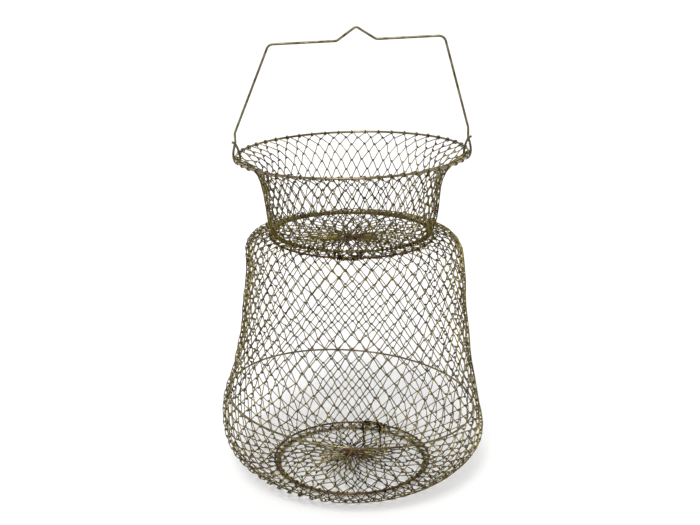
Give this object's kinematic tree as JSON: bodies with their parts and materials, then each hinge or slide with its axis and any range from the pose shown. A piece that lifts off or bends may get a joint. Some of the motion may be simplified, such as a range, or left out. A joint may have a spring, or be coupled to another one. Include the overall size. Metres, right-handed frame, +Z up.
{
  "type": "wire keep net",
  "caption": "Collapsible wire keep net: round knotted wire basket on rings, with a flared mouth, a narrow neck, sprung doors at throat and bottom, and a swinging wire bail.",
  "frame": {"origin": "centre of the foot, on the surface that the net stands on", "axes": "+Z up the basket from the foot to the mouth, +X to the right along the bail's pivot line, +Y to the back; the throat door hinges at the front and the bottom door at the back"},
  "size_m": [0.35, 0.35, 0.5907],
  "materials": {
    "net_wire": "thin drawn wire with a dull olive brass tone",
    "ring_wire": "drawn wire, dark bronze",
    "door_wire": "drawn wire, reddish brown",
    "spring_wire": "bright spring wire",
    "bail_wire": "drawn wire, greenish grey"
  },
  "bodies": {
    "foot": {"bottom_frame_ring": "ring_wire", "lower_body_net": "net_wire", "bottom_hinge_link_left": "door_wire", "bottom_hinge_link_right": "door_wire"},
    "bottom_door": {"bottom_door_ring": "door_wire", "bottom_door_net": "net_wire", "bottom_door_spring": "spring_wire", "bottom_door_tie": "door_wire"},
    "belly": {"belly_ring": "ring_wire", "upper_body_net": "net_wire"},
    "throat": {"throat_frame_ring": "ring_wire", "neck_net": "net_wire", "throat_hinge_link_left": "door_wire", "throat_hinge_link_right": "door_wire"},
    "throat_door": {"throat_door_ring": "door_wire", "throat_door_net": "net_wire", "throat_door_spring": "spring_wire", "throat_door_tie": "door_wire"},
    "mouth": {"mouth_ring": "ring_wire"},
    "bail": {"bail_handle": "bail_wire"}
  },
  "joints": [
    {"name": "belly_collapse", "type": "slide", "parent": "foot", "child": "belly", "axis": [0, 0, 1], "range_m": [-0.075, 0], "deforming": ["lower_body_net"]},
    {"name": "throat_collapse", "type": "slide", "parent": "belly", "child": "throat", "axis": [0, 0, 1], "range_m": [-0.19, 0], "deforming": ["upper_body_net"]},
    {"name": "mouth_collapse", "type": "slide", "parent": "throat", "child": "mouth", "axis": [0, 0, 1], "range_m": [-0.075, 0], "deforming": ["neck_net"]},
    {"name": "bail_swing", "type": "hinge", "parent": "mouth", "child": "bail", "pos_m": [0, 0, 0.432], "axis": [0.9997, 0, 0.0262], "range_deg": [-70, 55]},
    {"name": "throat_door_swing", "type": "hinge", "parent": "throat", "child": "throat_door", "pos_m": [-0.00545, -0.10394, 0.3235], "axis": [-0.9986, 0.0523, 0], "range_deg": [0, 85], "stiffness_Nm_per_rad": 0.1, "springref_deg": -85.94, "deforming": ["throat_door_spring"]},
    {"name": "bottom_door_swing", "type": "hinge", "parent": "foot", "child": "bottom_door", "pos_m": [0.03216, 0.09899, 0.01005], "axis": [-0.9511, 0.309, 0], "range_deg": [0, 85], "stiffness_Nm_per_rad": 0.1, "springref_deg": -85.94, "deforming": ["bottom_door_spring"]}
  ]
}
